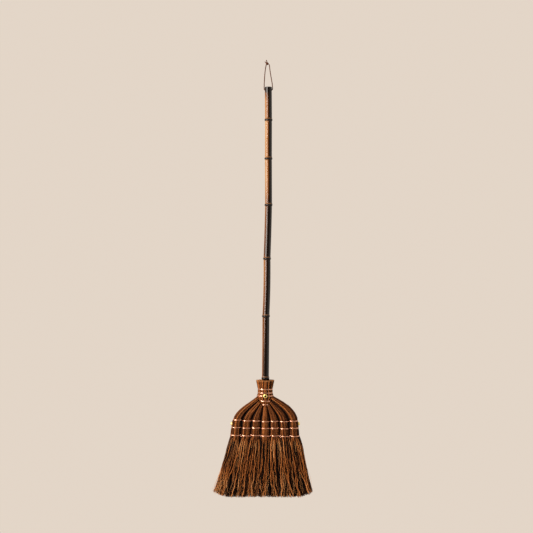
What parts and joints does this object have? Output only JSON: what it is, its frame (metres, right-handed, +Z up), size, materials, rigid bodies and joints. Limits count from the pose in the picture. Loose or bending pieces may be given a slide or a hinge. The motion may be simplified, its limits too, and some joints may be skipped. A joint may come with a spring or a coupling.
{
  "type": "palm fibre broom",
  "caption": "Long broom: dark bamboo handle, fan of palm fibre bundles bound with copper wire, straight sweeping edge, and a cord loop to hang it by.",
  "frame": {"origin": "the point inside the top of the hanging loop that a hook or wall pin carries", "axes": "+Z up, along the handle away from the bristles; +X to the right of the picture; -Y towards the viewer, the broom's front face"},
  "size_m": [0.2997, 0.0486, 1.3646],
  "materials": {
    "bamboo": "near-black bamboo, satin sheen, amber mottling on one side",
    "palm_fibre": "matte red-brown palm sheath fibre, cross-woven mesh with lengthwise strands",
    "palm_bristle": "loose wavy palm fibres, matte with lighter orange strands",
    "copper": "bright round copper wire",
    "brass": "polished brass",
    "dark_bamboo": "black bamboo pin",
    "split_bamboo": "plain split bamboo",
    "cord": "two-ply red-brown twine"
  },
  "bodies": {
    "hanging_loop": {"hanging_cord_left": "cord", "hanging_cord_right": "cord", "cord_knot": "cord"},
    "broom": {"handle": "bamboo", "neck_collar": "palm_fibre", "bundle_1": "palm_fibre", "bundle_2": "palm_fibre", "bundle_3": "palm_fibre", "bundle_4": "palm_fibre", "bundle_5": "palm_fibre", "bundle_6": "palm_fibre", "bundle_7": "palm_fibre", "bristles_1": "palm_bristle", "bristles_2": "palm_bristle", "bristles_3": "palm_bristle", "bristles_4": "palm_bristle", "bristles_5": "palm_bristle", "bristles_6": "palm_bristle", "bristles_7": "palm_bristle", "neck_wire_1": "copper", "neck_wire_2": "copper", "neck_wire_3": "copper", "neck_wire_4": "copper", "neck_wire_5": "copper", "stitch_wire_1": "copper", "stitch_wire_2": "copper", "stitch_wire_3": "copper", "neck_pin": "dark_bamboo", "pin_washer_front": "brass", "pin_washer_back": "brass", "skewer": "split_bamboo", "skewer_cap_left": "brass", "skewer_cap_right": "brass"}
  },
  "joints": [
    {"name": "loop_swing", "type": "hinge", "parent": "hanging_loop", "child": "broom", "pos_m": [0.00411, 0, -0.0776], "axis": [1, 0, 0], "range_deg": [-150, 150]}
  ]
}
